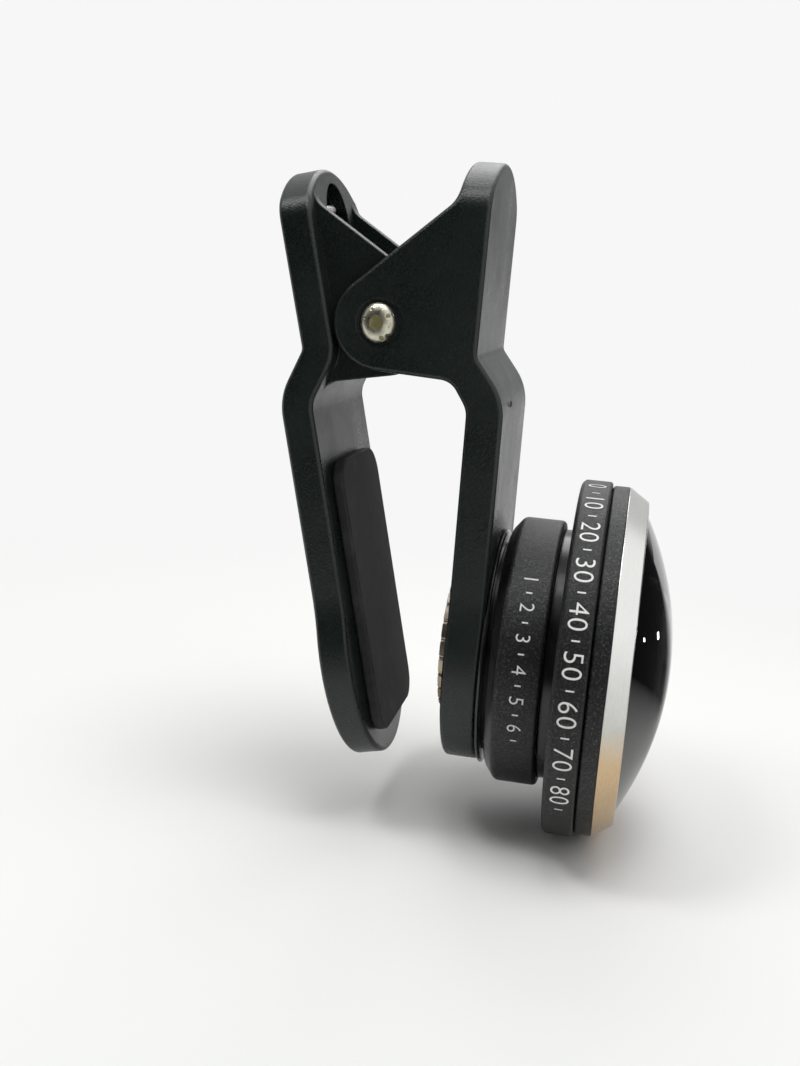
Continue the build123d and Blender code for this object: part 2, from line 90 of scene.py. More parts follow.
class NodeGraph:
    """A material's node tree, with short methods for the nodes that the finishes share."""

    def __init__(self, name: str) -> None:
        """Start an empty material.

        Args:
            name: Name of the material.
        """
        self.material = bpy.data.materials.new(name)
        self.material.use_nodes = True
        self.tree = self.material.node_tree
        self.tree.nodes.clear()
        self.shader = self.tree.nodes.new("ShaderNodeBsdfPrincipled")
        output = self.tree.nodes.new("ShaderNodeOutputMaterial")
        self.tree.links.new(self.shader.outputs["BSDF"], output.inputs["Surface"])
        self.place = self.tree.nodes.new("ShaderNodeTexCoord").outputs["Object"]

    def feed(self, socket: bpy.types.NodeSocket, value: object) -> None:
        """Link an output to a socket, or set the socket to a plain value.

        Args:
            socket: Input socket.
            value: Output socket, number or tuple.
        """
        if isinstance(value, bpy.types.NodeSocket):
            self.tree.links.new(value, socket)
        else:
            socket.default_value = value

    def set(self, **values: object) -> None:
        """Set or link inputs of the shader, named with underscores for spaces.

        Args:
            **values: Values by input name.
        """
        for name, value in values.items():
            if isinstance(value, tuple) and len(value) == 3:
                value = (*value, 1.0)
            self.feed(self.shader.inputs[name.replace("_", " ")], value)

    def math(self, operation: str, *values: object) -> bpy.types.NodeSocket:
        """Apply a Math node.

        Args:
            operation: Name of the operation.
            *values: Operands.

        Returns:
            The result.
        """
        node = self.tree.nodes.new("ShaderNodeMath")
        node.operation = operation
        for socket, value in zip(node.inputs, values):
            self.feed(socket, value)
        return node.outputs[0]

    def span(self, value: object, low: float, high: float, start: float, end: float) -> bpy.types.NodeSocket:
        """Map a value from one range to another, and keep it there.

        Args:
            value: What is mapped.
            low: Value that gives start.
            high: Value that gives end.
            start: Result at low.
            end: Result at high.

        Returns:
            The mapped value.
        """
        node = self.tree.nodes.new("ShaderNodeMapRange")
        for socket, item in zip(node.inputs, (value, low, high, start, end)):
            self.feed(socket, item)
        return node.outputs[0]

    def blend(self, factor: object, first: object, second: object) -> bpy.types.NodeSocket:
        """Mix two colours.

        Args:
            factor: Share of the second colour.
            first: First colour.
            second: Second colour.

        Returns:
            The mixed colour.
        """
        node = self.tree.nodes.new("ShaderNodeMix")
        node.data_type = "RGBA"
        self.feed(node.inputs["Factor"], factor)
        for socket, value in ((node.inputs["A"], first), (node.inputs["B"], second)):
            self.feed(socket, (*value, 1.0) if isinstance(value, tuple) else value)
        return node.outputs["Result"]

    def parts(self) -> tuple[bpy.types.NodeSocket, bpy.types.NodeSocket, bpy.types.NodeSocket]:
        """Split the place on the piece into its x, y and z."""
        node = self.tree.nodes.new("ShaderNodeSeparateXYZ")
        self.feed(node.inputs[0], self.place)
        return node.outputs[0], node.outputs[1], node.outputs[2]

    def turned_place(self, along: float = 1.0, round_: float = 0.0) -> bpy.types.NodeSocket:
        """Place on a turned piece: along the optical axis, outwards from it and round it.

        Args:
            along: Weight of the length along the axis.
            round_: Weight of the angle round the axis.

        Returns:
            The place as a vector.
        """
        x, y, z = self.parts()
        radius = self.math("SQRT", self.math("ADD", self.math("MULTIPLY", y, y), self.math("MULTIPLY", z, z)))
        node = self.tree.nodes.new("ShaderNodeCombineXYZ")
        self.feed(node.inputs[0], self.math("MULTIPLY", x, along))
        self.feed(node.inputs[1], radius)
        self.feed(node.inputs[2], self.math("MULTIPLY", self.math("ARCTAN2", z, y), round_))
        return node.outputs[0]

    def noise(
        self, size: float, detail: float = 2.0, rough: float = 0.5, place: Optional[bpy.types.NodeSocket] = None
    ) -> bpy.types.NodeSocket:
        """Add a noise pattern.

        Args:
            size: Size of its features in millimetres.
            detail: Number of finer layers.
            rough: Strength of the finer layers.
            place: Where it is read, or None for the piece's own coordinates.

        Returns:
            The value, from 0 to 1.
        """
        node = self.tree.nodes.new("ShaderNodeTexNoise")
        self.feed(node.inputs["Vector"], place or self.place)
        self.feed(node.inputs["Scale"], 1 / (size * MM))
        self.feed(node.inputs["Detail"], detail)
        self.feed(node.inputs["Roughness"], rough)
        return node.outputs["Fac"]

    def specks(self, size: float, share: float) -> bpy.types.NodeSocket:
        """Add small round specks, scattered over the piece.

        Args:
            size: Distance between specks in millimetres.
            share: Radius of a speck as a share of that distance.

        Returns:
            1 on a speck and 0 off it, with a soft edge.
        """
        node = self.tree.nodes.new("ShaderNodeTexVoronoi")
        self.feed(node.inputs["Vector"], self.place)
        self.feed(node.inputs["Scale"], 1 / (size * MM))
        return self.span(node.outputs["Distance"], share * 0.5, share, 1.0, 0.0)

    def spot(self, centre: tuple[float, float], inner: float, outer: float) -> bpy.types.NodeSocket:
        """Mark a round spot, seen along Y.

        Args:
            centre: Its x and z in millimetres.
            inner: Radius within which it is full, in millimetres.
            outer: Radius beyond which there is none of it, in millimetres.

        Returns:
            1 on the spot and 0 off it.
        """
        x, _, z = self.parts()
        across, up = self.math("SUBTRACT", x, centre[0] * MM), self.math("SUBTRACT", z, centre[1] * MM)
        squares = self.math("ADD", self.math("MULTIPLY", across, across), self.math("MULTIPLY", up, up))
        return self.span(self.math("SQRT", squares), inner * MM, outer * MM, 1.0, 0.0)

    def bump(
        self, height: object, depth: float, strength: float = 1.0, under: Optional[bpy.types.NodeSocket] = None
    ) -> bpy.types.NodeSocket:
        """Turn a height into a surface relief.

        Args:
            height: Height from 0 to 1.
            depth: Depth of the relief in millimetres.
            strength: How much of it shows.
            under: A relief that this one lies on.

        Returns:
            The normal.
        """
        node = self.tree.nodes.new("ShaderNodeBump")
        node.inputs["Strength"].default_value = strength
        node.inputs["Distance"].default_value = depth * MM
        self.feed(node.inputs["Height"], height)
        if under is not None:
            self.feed(node.inputs["Normal"], under)
        return node.outputs["Normal"]


@dataclass(frozen=True)
class MouldedPlastic:
    """Black satin plastic with an eroded grain, faint flow and a little dust."""

    name: str = "moulded_black"
    colour: Colour = (0.0052, 0.0100, 0.0082)
    worn: Colour = (0.0085, 0.0140, 0.0115)
    fleck: Colour = (0.015, 0.021, 0.018)
    dust: Colour = (0.045, 0.045, 0.04)
    grain: float = 0.21
    roughness: float = 0.30
    gloss: float = 0.46

    def material(self) -> bpy.types.Material:
        """Build the material."""
        graph = NodeGraph(self.name)
        cloud = graph.noise(9.0, 4.0, 0.6)
        grain = graph.noise(self.grain, 3.0, 0.65)
        specks = graph.math("MULTIPLY", graph.specks(1.3, 0.045), graph.span(graph.noise(4.0), 0.5, 0.62, 0.0, 0.8))
        body = graph.blend(graph.span(cloud, 0.35, 0.7, 0.0, 1.0), self.colour, self.worn)
        body = graph.blend(graph.span(grain, 0.56, 0.74, 0.0, 1.0), body, self.fleck)
        rough = graph.math("ADD", graph.span(cloud, 0.3, 0.7, self.roughness - 0.05, self.roughness + 0.08),
                           graph.span(grain, 0.3, 0.7, -0.05, 0.05))
        relief = graph.bump(grain, 0.075, 0.7)
        relief = graph.bump(graph.noise(1.6, 2.0), 0.03, 0.12, under=relief)
        graph.set(Base_Color=graph.blend(specks, body, self.dust), Roughness=rough, Normal=relief, IOR=1.5,
                  Specular_IOR_Level=self.gloss)
        return graph.material


@dataclass(frozen=True)
class BlastedMetal:
    """Black anodised aluminium, blasted with fine beads so that it sparkles in the light."""

    name: str = "blasted_black"
    colour: Colour = (0.0034, 0.0042, 0.0039)
    bright: Colour = (0.085, 0.092, 0.088)
    grain: float = 0.22
    roughness: float = 0.33
    gloss: float = 0.46

    def material(self) -> bpy.types.Material:
        """Build the material."""
        graph = NodeGraph(self.name)
        grain = graph.noise(self.grain, 4.0, 0.75)
        cloud = graph.noise(7.0, 3.0, 0.6)
        fleck = graph.span(grain, 0.52, 0.72, 0.0, 1.0)
        rough = graph.math("ADD", graph.span(cloud, 0.3, 0.7, self.roughness - 0.04, self.roughness + 0.06),
                           graph.span(grain, 0.3, 0.7, 0.08, -0.08))
        graph.set(Base_Color=graph.blend(fleck, self.colour, self.bright), Roughness=rough, Metallic=0.35,
                  Normal=graph.bump(grain, 0.10, 0.8), IOR=1.6, Specular_IOR_Level=self.gloss)
        return graph.material


@dataclass(frozen=True)
class GlossBlack:
    """Glossy black enamel with faint turning lines."""

    name: str = "gloss_black"
    colour: Colour = (0.008, 0.008, 0.009)
    smeared: Colour = (0.03, 0.03, 0.03)
    roughness: float = 0.14

    def material(self) -> bpy.types.Material:
        """Build the material."""
        graph = NodeGraph(self.name)
        lines = graph.noise(0.12, 2.0, 0.5, graph.turned_place())
        smear = graph.noise(3.0, 4.0, 0.6)
        graph.set(Base_Color=graph.blend(graph.span(smear, 0.45, 0.7, 0.0, 0.35), self.colour, self.smeared),
                  Roughness=graph.span(smear, 0.35, 0.7, self.roughness, self.roughness + 0.12),
                  Normal=graph.bump(lines, 0.006, 0.4), IOR=1.52)
        return graph.material


@dataclass(frozen=True)
class TurnedMetal:
    """Bright metal turned on a lathe, with fine rings and a painted reflection: grey across the middle and warm tan low
    down.
    """

    name: str = "turned_bright"
    colour: Colour = (0.87, 0.87, 0.85)
    shade: Colour = (0.78, 0.78, 0.74)
    # middle and low are painted reflection colours: grey across the middle of the ring and warm tan low down.
    middle: Colour = (0.56, 0.56, 0.53)
    low: Colour = (0.60, 0.44, 0.27)
    ring: float = 0.05
    relief: float = 0.002
    roughness: float = 0.22

    def material(self) -> bpy.types.Material:
        """Build the material."""
        graph = NodeGraph(self.name)
        rings = graph.noise(self.ring, 3.0, 0.6, graph.turned_place())
        tone = graph.noise(5.0, 3.0, 0.55)
        height = graph.math("ADD", graph.parts()[2], graph.span(tone, 0.3, 0.7, -1.2 * MM, 1.2 * MM))
        scratch = graph.noise(0.35, 2.0, 0.6, graph.turned_place(3.0, 0.004))
        rough = graph.math("ADD", graph.span(rings, 0.3, 0.7, self.roughness - 0.05, self.roughness + 0.07),
                           graph.span(tone, 0.4, 0.7, 0.0, 0.06))
        relief = graph.bump(rings, self.relief, 0.6)
        body = graph.blend(graph.span(graph.math("MULTIPLY", tone, scratch), 0.2, 0.5, 0.0, 0.4),
                           self.colour, self.shade)
        # Painted reflection by height: grey comes in from 7 mm down to -1 mm, then warm tan from -1 mm down to -5 mm.
        body = graph.blend(graph.span(height, 7 * MM, -1 * MM, 0.0, 1.0), body, self.middle)
        body = graph.blend(graph.span(height, -1 * MM, -5 * MM, 0.0, 1.0), body, self.low)
        graph.set(Base_Color=body, Metallic=1.0, Roughness=rough, Normal=relief)
        return graph.material


@dataclass(frozen=True)
class PlatedRivet:
    """Pale nickel on a peened rivet head, darker in its dimples and olive on its flat."""

    name: str = "plated_rivet"
    colour: Colour = (0.62, 0.60, 0.48)
    tarnish: Colour = (0.24, 0.22, 0.13)
    olive: Colour = (0.22, 0.20, 0.085)
    pit: float = 0.75
    pin: tuple[float, float] = (-8.08, 33.4)
    dents: tuple[tuple[float, float], ...] = ((-7.02, 34.1), (-6.95, 32.15), (-7.5, 31.95))
    roughness: float = 0.24

    def material(self) -> bpy.types.Material:
        """Build the material."""
        graph = NodeGraph(self.name)
        pits = graph.specks(self.pit, 0.22)
        stain = graph.noise(0.6, 4.0, 0.65)
        for dent in self.dents:
            pits = graph.math("MAXIMUM", pits, graph.spot(dent, 0.16, 0.30))
        mark = graph.math("MAXIMUM", pits, graph.span(stain, 0.56, 0.68, 0.0, 0.7))
        relief = graph.bump(graph.math("SUBTRACT", 1.0, pits), 0.10, 0.6)
        relief = graph.bump(graph.noise(0.2, 3.0, 0.6), 0.01, 0.5, under=relief)
        body = graph.blend(mark, self.colour, self.tarnish)
        flat = graph.spot(self.pin, 0.64, 0.74)
        graph.set(Base_Color=graph.blend(flat, body, self.olive), Metallic=graph.span(flat, 0.0, 1.0, 1.0, 0.35),
                  Roughness=graph.span(stain, 0.3, 0.7, self.roughness, self.roughness + 0.2), Normal=relief)
        return graph.material


@dataclass(frozen=True)
class DrawnWire:
    """Bright drawn spring wire."""

    name: str = "drawn_wire"
    colour: Colour = (0.72, 0.71, 0.68)
    shade: Colour = (0.42, 0.40, 0.36)
    roughness: float = 0.27

    def material(self) -> bpy.types.Material:
        """Build the material."""
        graph = NodeGraph(self.name)
        stain = graph.noise(0.7, 4.0, 0.65)
        fine = graph.noise(0.06, 2.0, 0.6)
        graph.set(Base_Color=graph.blend(graph.span(stain, 0.45, 0.7, 0.0, 1.0), self.colour, self.shade), Metallic=1.0,
                  Roughness=graph.span(stain, 0.3, 0.7, self.roughness, self.roughness + 0.15),
                  Normal=graph.bump(fine, 0.004, 0.5))
        return graph.material


@dataclass(frozen=True)
class SoftRubber:
    """Matt black rubber with a fine orange-peel skin."""

    name: str = "soft_rubber"
    colour: Colour = (0.017, 0.017, 0.018)
    bloom: Colour = (0.05, 0.05, 0.05)
    roughness: float = 0.78

    def material(self) -> bpy.types.Material:
        """Build the material."""
        graph = NodeGraph(self.name)
        skin = graph.noise(0.25, 3.0, 0.6)
        bloom = graph.noise(3.5, 4.0, 0.6)
        graph.set(Base_Color=graph.blend(graph.span(bloom, 0.45, 0.75, 0.0, 1.0), self.colour, self.bloom),
                  Roughness=graph.span(bloom, 0.3, 0.7, self.roughness - 0.08, self.roughness + 0.08),
                  Normal=graph.bump(skin, 0.02, 0.7))
        return graph.material


@dataclass(frozen=True)
class InnerBlack:
    """Matt black inside the barrels, with turning lines that break up stray light."""

    name: str = "inner_black"
    colour: Colour = (0.006, 0.006, 0.0065)
    crest: Colour = (0.016, 0.016, 0.017)
    roughness: float = 0.62

    def material(self) -> bpy.types.Material:
        """Build the material."""
        graph = NodeGraph(self.name)
        lines = graph.noise(0.16, 2.0, 0.5, graph.turned_place())
        graph.set(Base_Color=graph.blend(graph.span(lines, 0.4, 0.7, 0.0, 1.0), self.colour, self.crest),
                  Roughness=graph.span(lines, 0.3, 0.7, self.roughness - 0.08, self.roughness + 0.08),
                  Normal=graph.bump(lines, 0.02, 0.6))
        return graph.material


@dataclass(frozen=True)
class CoatedGlass:
    """Optical glass with a thin coating, a little handling haze and a colour that changes from the centre to the rim;
    on the front glass that colour is painted shade.
    """

    name: str = "coated_glass"
    index: float = 1.58
    film: float = 140.0
    haze: float = 0.03
    # On the front glass both colours are painted shade: grey in the centre, near black towards the rim.
    tint_and_shade: Colour = (0.93, 0.95, 0.95)
    rim: Colour = (0.93, 0.95, 0.95)
    clear_radius: float = 7.0
    rim_radius: float = 10.8

    def material(self) -> bpy.types.Material:
        """Build the material."""
        graph = NodeGraph(self.name)
        smear = graph.noise(4.0, 5.0, 0.65)
        radius = graph.tree.nodes.new("ShaderNodeSeparateXYZ")
        graph.feed(radius.inputs[0], graph.turned_place())
        share = graph.span(radius.outputs[1], self.clear_radius * MM, self.rim_radius * MM, 0.0, 1.0)
        graph.set(Base_Color=graph.blend(share, self.tint_and_shade, self.rim), IOR=self.index, Transmission_Weight=1.0,
                  Roughness=graph.span(smear, 0.5, 0.75, 0.0, self.haze),
                  Thin_Film_Thickness=self.film, Thin_Film_IOR=1.38)
        return graph.material


@dataclass(frozen=True)
class ScreenInk:
    """White screen-printed ink, a little uneven at its edges."""

    name: str = "white_ink"
    colour: Colour = (0.80, 0.80, 0.78)
    thin: Colour = (0.52, 0.52, 0.51)

    def material(self) -> bpy.types.Material:
        """Build the material."""
        graph = NodeGraph(self.name)
        wear = graph.noise(0.35, 4.0, 0.7)
        graph.set(Base_Color=graph.blend(graph.span(wear, 0.55, 0.75, 0.0, 1.0), self.colour, self.thin),
                  Roughness=graph.span(wear, 0.3, 0.7, 0.5, 0.62), Normal=graph.bump(wear, 0.006, 0.4))
        return graph.material


class Palette:
    """The finishes of the part, each made once."""

    def __init__(self) -> None:
        """Make every material."""
        self.arm = MouldedPlastic().material()
        self.pad = SoftRubber().material()
        self.seal = SoftRubber("seal_rubber", roughness=0.7).material()
        self.rivet = PlatedRivet().material()
        self.wire = DrawnWire().material()
        self.collar = GlossBlack().material()
        self.barrel = BlastedMetal().material()
        self.shoulder = GlossBlack("gloss_shoulder", roughness=0.18).material()
        self.inside = InnerBlack().material()
        self.trim = TurnedMetal().material()
        # The nickel retainer takes the same painted reflection: grey in the middle and brown low down.
        self.nickel = TurnedMetal(
            "turned_nickel", colour=(0.62, 0.56, 0.48), shade=(0.40, 0.34, 0.27), middle=(0.46, 0.38, 0.30),
            low=(0.36, 0.27, 0.18), ring=0.09, relief=0.006, roughness=0.3,
        ).material()
        # Painted shade: the front glass is darkened to grey in its centre and near black towards its rim, so the dome
        # looks dark.
        self.front_glass = CoatedGlass(
            "front_glass", film=0.0, tint_and_shade=(0.42, 0.42, 0.41), rim=(0.012, 0.012, 0.012),
        ).material()
        self.glass = CoatedGlass("inner_glass", 1.52, 110.0, 0.01).material()
        self.ink = ScreenInk().material()


# Meshes


def new_object(name: str, mesh: bpy.types.Mesh, *materials: bpy.types.Material) -> bpy.types.Object:
    """Put a mesh in the scene.

    Args:
        name: Name of the piece.
        mesh: Its mesh, in place.
        *materials: Its materials, by slot.

    Returns:
        The object, at the origin.
    """
    piece = bpy.data.objects.new(name, mesh)
    bpy.context.scene.collection.objects.link(piece)
    for material in materials:
        mesh.materials.append(material)
    return piece


def fit(piece: bpy.types.Object, body: Body, slot: Optional[Slot], *nodes: str) -> bpy.types.Object:
    """Attach a piece to the body it rides on, and hide the nodes that it stands for.

    Args:
        piece: The piece.
        body: Body that it rides on.
        slot: Slot of its finish, or None where the record has none. Not used.
        *nodes: Nodes that it stands for.

    Returns:
        The piece.
    """
    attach(piece, body.value)
    if nodes:
        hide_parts(*nodes)
    return piece


def flat_mesh(bm: bmesh.types.BMesh, name: str) -> bpy.types.Mesh:
    """Turn a bmesh into a mesh as it is, and free it.

    Args:
        bm: What was built.
        name: Name of the mesh.

    Returns:
        The mesh.
    """
    mesh = bpy.data.meshes.new(name)
    bm.to_mesh(mesh)
    bm.free()
    return mesh


def mesh_from(bm: bmesh.types.BMesh, name: str) -> bpy.types.Mesh:
    """Turn a bmesh into a smooth mesh and free it.

    Args:
        bm: What was built.
        name: Name of the mesh.

    Returns:
        The mesh.
    """
    bmesh.ops.remove_doubles(bm, verts=bm.verts[:], dist=1e-8)
    bmesh.ops.recalc_face_normals(bm, faces=bm.faces[:])
    for face in bm.faces:
        face.smooth = True
    return flat_mesh(bm, name)


def even_shading(piece: bpy.types.Object) -> bpy.types.Object:
    """Let the large faces set the shading, so that flats stay flat beside rounded edges.

    Args:
        piece: A piece with smooth faces.

    Returns:
        The piece.
    """
    modifier = piece.modifiers.new("even_shading", "WEIGHTED_NORMAL")
    modifier.mode = "FACE_AREA"
    modifier.weight = 50
    modifier.keep_sharp = True
    return piece


class HalfSection:
    """A half section in the XZ plane, drawn as a closed chain of edges, then spun."""

    def __init__(self) -> None:
        """Start with no points."""
        self.bm = bmesh.new()
        self.chain: list[bmesh.types.BMVert] = []
        self.soft: list[tuple[bmesh.types.BMVert, float]] = []

    def to(self, x: float, radius: float, soften: float = 0.0) -> "HalfSection":
        """Go on to a corner.

        Args:
            x: Place along the axis in millimetres.
            radius: Distance from the axis in millimetres.
            soften: How far the corner is rounded back, in millimetres.

        Returns:
            The section, so that calls can be chained.
        """
        vert = self.bm.verts.new((x * MM, 0.0, radius * MM))
        if self.chain:
            self.bm.edges.new((self.chain[-1], vert))
        self.chain.append(vert)
        if soften > 0:
            self.soft.append((vert, soften))
        return self

    def spin(self, name: str, steps: int = 192, place: Optional[Matrix] = None) -> bpy.types.Mesh:
        """Close the section and spin it about the optical axis.

        Args:
            name: Name of the mesh.
            steps: Number of facets round it.
            place: Where the turned piece is put, or None to leave it on the optical axis.

        Returns:
            The closed mesh.
        """
        bm = self.bm
        bm.edges.new((self.chain[-1], self.chain[0]))
        bmesh.ops.contextual_create(bm, geom=bm.edges[:])
        for vert, size in self.soft:
            bmesh.ops.bevel(
                bm, geom=[vert], offset=size * MM, offset_type="OFFSET", affect="VERTICES",
                segments=3, profile=0.5, material=-1,
            )
        bmesh.ops.delete(bm, geom=bm.faces[:], context="FACES_ONLY")
        on_axis = [edge for edge in bm.edges if all(vert.co.z < 1e-9 for vert in edge.verts)]
        bmesh.ops.delete(bm, geom=on_axis, context="EDGES")
        bmesh.ops.spin(
            bm, geom=bm.verts[:] + bm.edges[:], cent=(0, 0, 0), axis=(1, 0, 0),
            angle=TAU, steps=steps, use_merge=True,
        )
        if place is not None:
            bmesh.ops.transform(bm, matrix=place, verts=bm.verts[:])
        return mesh_from(bm, name)


@dataclass(frozen=True)
class ThreadRidge:
    """A helical ridge that stands out from a stem, or into a hole where its height is negative."""

    root: float
    height: float
    start: float
    length: float
    phase: float = 0.0
    pitch: float = 0.75
    base_width: float = 0.5
    crest_width: float = 0.12
    sink: float = 0.06
    steps_per_turn: int = 72

    def add_to(self, mesh: bpy.types.Mesh) -> None:
        """Join the ridge to a mesh.

        Args:
            mesh: Mesh that takes the ridge.
        """
        bm = bmesh.new()
        outwards = 1 if self.height > 0 else -1
        shift = self.start + self.phase * self.pitch
        corners = (
            (-self.base_width / 2, -outwards * self.sink), (-self.crest_width / 2, self.height),
            (self.crest_width / 2, self.height), (self.base_width / 2, -outwards * self.sink),
        )
        ring = [bm.verts.new(((shift + x) * MM, 0, (self.root + rise) * MM)) for x, rise in corners]
        profile = bm.faces.new(ring)
        turns = self.length / self.pitch
        steps = max(8, int(turns * self.steps_per_turn))
        bmesh.ops.spin(
            bm, geom=[profile], cent=(0, 0, 0), axis=(1, 0, 0), angle=TAU * turns, steps=steps,
            dvec=(self.length * MM / steps, 0, 0), use_merge=False,
        )
        bmesh.ops.recalc_face_normals(bm, faces=bm.faces[:])
        for face in bm.faces:
            face.smooth = True
        bm.from_mesh(mesh)
        bm.to_mesh(mesh)
        bm.free()


def paint_band(mesh: bpy.types.Mesh, low: float, high: float, inner: float, outer: float) -> None:
    """Give the second material to the faces of a turned piece within a band.

    Args:
        mesh: Its mesh.
        low: Where the band starts along the axis, in millimetres.
        high: Where it ends.
        inner: Distance from the axis at which it starts, in millimetres.
        outer: Distance from the axis at which it ends.
    """
    for polygon in mesh.polygons:
        reach = math.hypot(polygon.center.y, polygon.center.z) / MM
        if low < polygon.center.x / MM < high and inner < reach < outer:
            polygon.material_index = 1


def softened_copy(node: str, name: str, width: float, angle: float = 28.0) -> bpy.types.Mesh:
    """Copy a node's mesh and round its sharp edges.

    Args:
        node: Name of the node.
        name: Name of the new mesh.
        width: Width of the rounding in millimetres.
        angle: Least angle of an edge that is rounded, in degrees.

    Returns:
        The rounded mesh.
    """
    bm = bmesh.new()
    bm.from_mesh(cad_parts[node].data)
    bmesh.ops.remove_doubles(bm, verts=bm.verts[:], dist=2e-6)
    bmesh.ops.dissolve_limit(bm, angle_limit=math.radians(0.5), verts=bm.verts[:], edges=bm.edges[:])
    sharp = [edge for edge in bm.edges if edge.is_manifold and edge.calc_face_angle(0.0) > math.radians(angle)]
    bmesh.ops.bevel(
        bm, geom=sharp, offset=width * MM, offset_type="OFFSET", affect="EDGES",
        segments=3, profile=0.5, material=-1, clamp_overlap=False, loop_slide=True,
    )
    return mesh_from(bm, name)


# The clip


@dataclass
class TorsionSpring:
    """Spring wire wound about the pin, with a leg and a cross hook in each handle."""

    pin: tuple[float, float, float] = (PIN_X, 0.0, PIN_Z)
    wire: float = 1.0
    coil_radius: float = 2.75
    pitch: float = 1.1
    start_angle: float = 207.6
    turned: float = 1930.6
    leg: float = 12.0
    bend: float = 1.2
    hook: float = 4.0
    tip: float = 0.1
    tip_scale: float = 0.8
    facets: int = 16
    steps_per_turn: int = 30

    def length(self) -> float:
        """Length of the coil along the pin."""
        return self.pitch * self.turned / 360

    def heading(self, angle: float) -> Vector:
        """Direction of the wire where it is at an angle round the pin.

        Args:
            angle: The angle in degrees, from +X towards +Z.

        Returns:
            The unit direction.
        """
        turn = math.radians(angle)
        slope = self.pitch / (TAU * self.coil_radius)
        return Vector((-math.sin(turn), slope, math.cos(turn))).normalized()

    def centre(self, angle: float, along: float) -> Vector:
        """Centre of the wire at an angle and a place along the pin.

        Args:
            angle: The angle in degrees, from +X towards +Z.
            along: The place along the pin in millimetres.

        Returns:
            The point in metres.
        """
        turn = math.radians(angle)
        spot = Vector((self.coil_radius * math.cos(turn), along, self.coil_radius * math.sin(turn)))
        return (Vector(self.pin) + spot) * MM

    def push(
        self, bm: bmesh.types.BMesh, ring: list[bmesh.types.BMEdge], move: Vector, steps: int
    ) -> list[bmesh.types.BMEdge]:
        """Push a ring of edges on in a straight line.

        Args:
            bm: The mesh being built.
            ring: Edges at its open end.
            move: The whole way in metres.
            steps: Number of stretches.

        Returns:
            The edges at the new open end.
        """
        for _ in range(steps):
            made = bmesh.ops.extrude_edge_only(bm, edges=ring)["geom"]
            verts = [item for item in made if isinstance(item, bmesh.types.BMVert)]
            ring = [item for item in made if isinstance(item, bmesh.types.BMEdge) and item.is_boundary]
            bmesh.ops.translate(bm, verts=verts, vec=move / steps)
        return ring

    def ring(self, bm: bmesh.types.BMesh, angle: float, along: float) -> list[bmesh.types.BMEdge]:
        """Draw the wire's section where the coil is at an angle, and cap it.

        Args:
            bm: The mesh being built.
            angle: Angle round the pin in degrees.
            along: Place along the pin in millimetres.

        Returns:
            The edges of the section.
        """
        turn = self.heading(angle).to_track_quat("Z", "Y").to_matrix().to_4x4()
        place = Matrix.Translation(self.centre(angle, along)) @ turn
        bmesh.ops.create_circle(bm, segments=self.facets, radius=self.wire / 2 * MM, matrix=place)
        edges = bm.edges[:]
        bmesh.ops.contextual_create(bm, geom=edges)
        return edges

    def coil(self) -> bpy.types.Mesh:
        """Wind the coil."""
        bm = bmesh.new()
        ring = self.ring(bm, self.start_angle, -self.length() / 2)
        steps = int(self.turned / 360 * self.steps_per_turn)
        made = bmesh.ops.spin(
            bm, geom=ring, cent=Vector(self.pin) * MM, axis=(0, 1, 0), angle=-math.radians(self.turned),
            dvec=(0, self.length() * MM / steps, 0), steps=steps, use_merge=False,
        )
        ring = [item for item in made["geom_last"] if isinstance(item, bmesh.types.BMEdge)]
        bmesh.ops.contextual_create(bm, geom=ring)
        return mesh_from(bm, "spring_coil")

    def leg_mesh(self, name: str, angle: float, along: float, way: int) -> bpy.types.Mesh:
        """Bend a leg with its hook.

        Args:
            name: Name of the mesh.
            angle: Angle round the pin at which it leaves the coil, in degrees.
            along: Place along the pin at which it does, in millimetres.
            way: 1 where it goes on the way that the coil is wound, or -1 where it goes back.

        Returns:
            The mesh.
        """
        bm = bmesh.new()
        ring = self.ring(bm, angle, along)
        straight = self.heading(angle) * way
        across = Vector((0, -way, 0))
        side = (across - straight * across.dot(straight)).normalized()
        ring = self.push(bm, ring, straight * self.leg * MM, 6)
        centre = self.centre(angle, along) + (straight * self.leg + side * self.bend) * MM
        made = bmesh.ops.spin(
            bm, geom=ring, cent=centre, axis=straight.cross(side), angle=math.pi / 2, steps=8, use_merge=False,
        )
        ring = [item for item in made["geom_last"] if isinstance(item, bmesh.types.BMEdge)]
        ring = self.push(bm, ring, side * (self.hook - self.tip) * MM, 3)
        ring = self.push(bm, ring, side * self.tip * MM, 1)
        verts = list({vert for edge in ring for vert in edge.verts})
        end = sum((vert.co for vert in verts), Vector()) / len(verts)
        bmesh.ops.scale(bm, vec=(self.tip_scale,) * 3, verts=verts, space=Matrix.Translation(-end))
        bmesh.ops.contextual_create(bm, geom=ring)
        return mesh_from(bm, name)

    def build(self, material: bpy.types.Material) -> list[bpy.types.Object]:
        """Build the spring: a coil about the pin, and a leg that follows each arm.

        Args:
            material: Its finish.

        Returns:
            The three pieces.
        """
        half = self.length() / 2
        coil = new_object("spring_coil", self.coil(), material)
        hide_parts("torsion_spring")
        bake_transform(coil)
        end = self.start_angle + self.turned
        pad_mesh = self.leg_mesh("spring_pad_leg", self.start_angle, -half, -1)
        lens_mesh = self.leg_mesh("spring_lens_leg", end, half, 1)
        return [
            coil,
            fit(new_object("spring_pad_leg", pad_mesh, material), Body.GRIP_ARM, Slot.WIRE),
            fit(new_object("spring_lens_leg", lens_mesh, material), Body.CLIP, Slot.WIRE),
        ]


